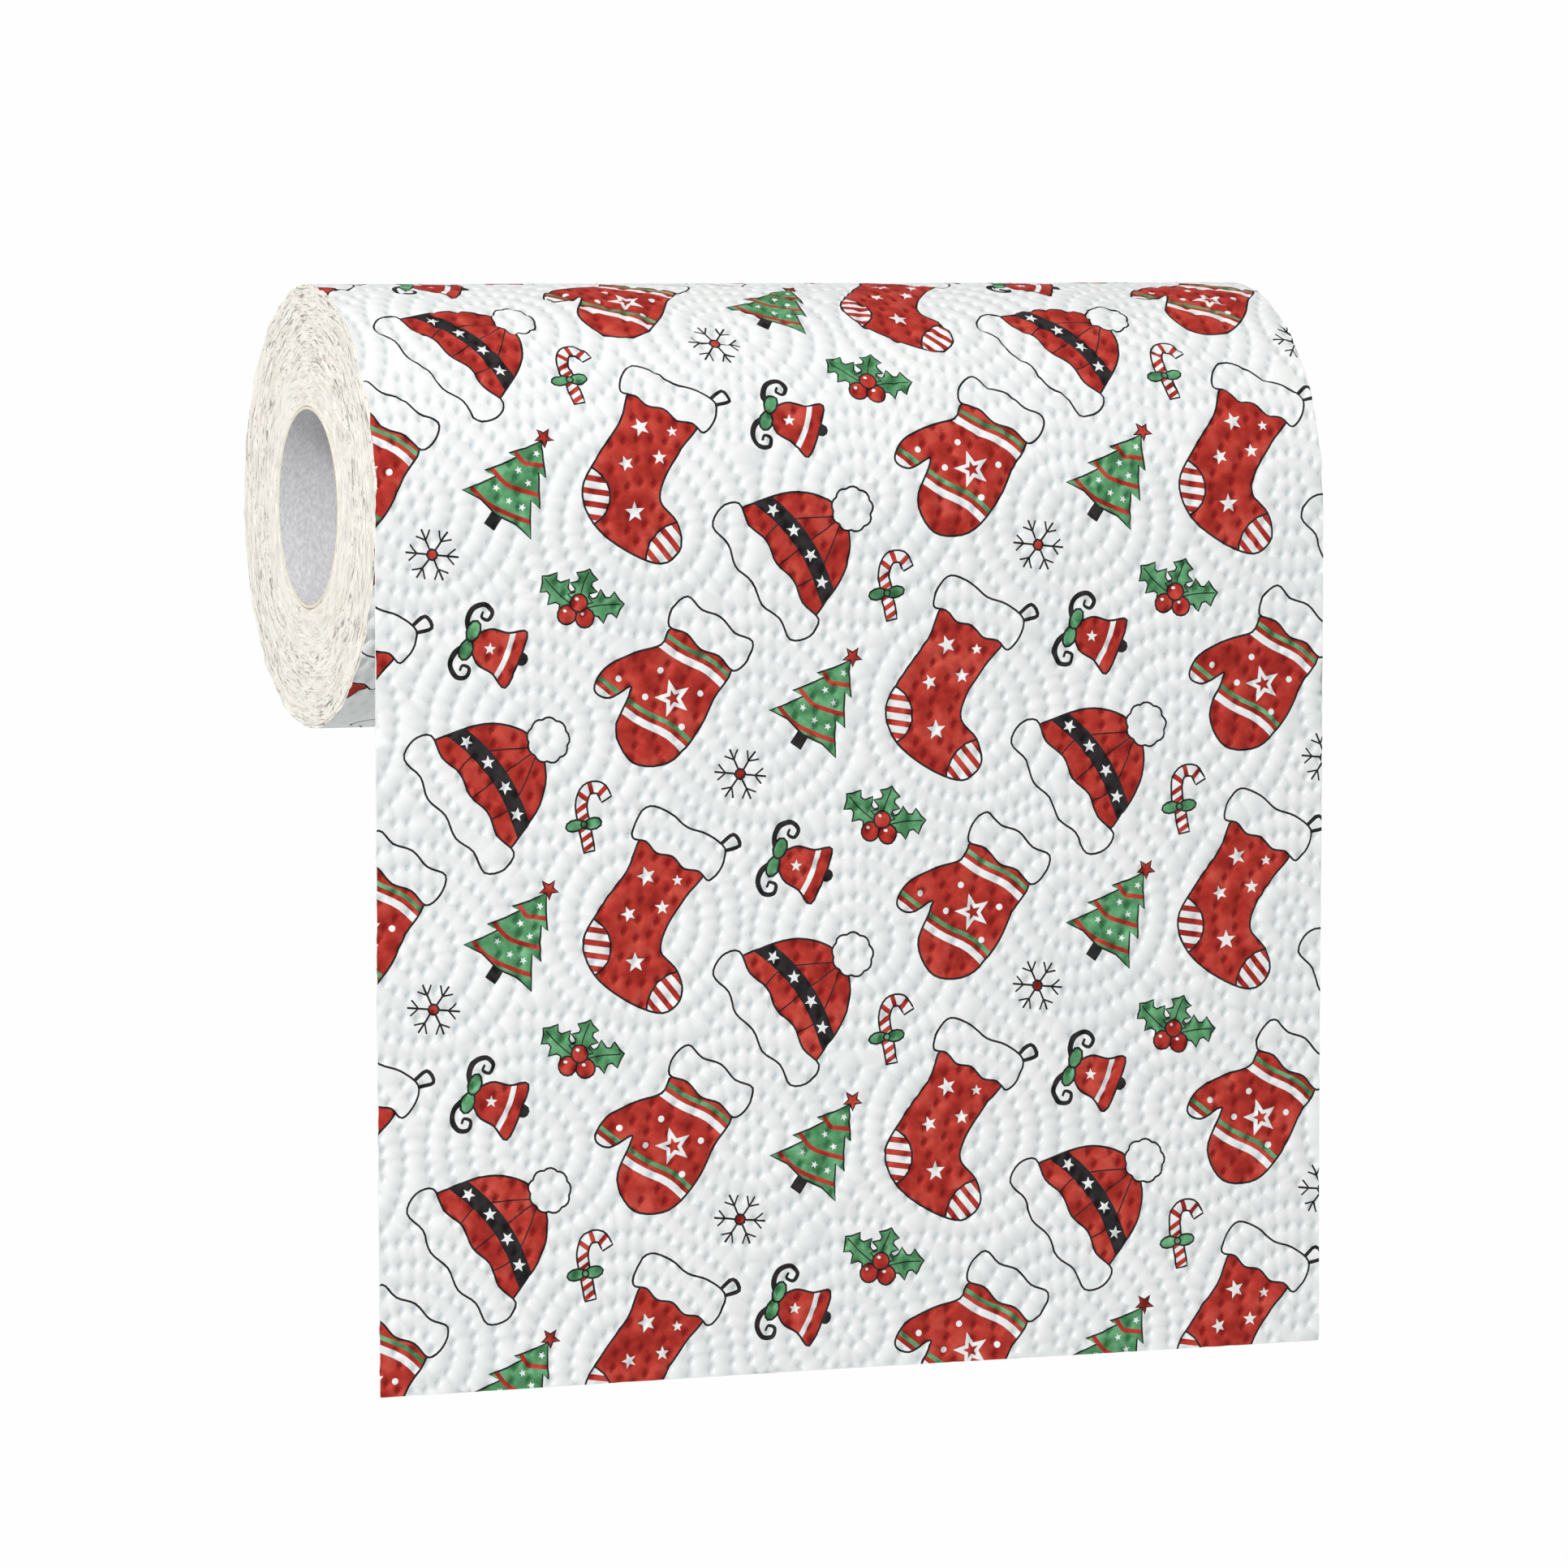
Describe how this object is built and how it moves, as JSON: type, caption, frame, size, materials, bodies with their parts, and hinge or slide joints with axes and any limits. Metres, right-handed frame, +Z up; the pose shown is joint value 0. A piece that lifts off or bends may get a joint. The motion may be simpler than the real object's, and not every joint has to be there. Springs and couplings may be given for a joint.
{
  "type": "paper towel roll",
  "caption": "Kitchen paper roll wound on a card core and held level, with the embossed sheet leaving over the front and hanging straight down.",
  "frame": {"origin": "centre of the core's bore, halfway along the roll", "axes": "+X along the roll, -Y the front, where the sheet leaves the roll and hangs, +Z up"},
  "size_m": [0.228, 0.1, 0.244],
  "materials": {
    "card": "matt unbleached card, grey inside and tan on its cut rim",
    "paper": "matt white two-ply tissue with embossed dimples and a red and green print"
  },
  "bodies": {
    "root": {"core": "card", "paper": "paper"}
  },
  "joints": []
}
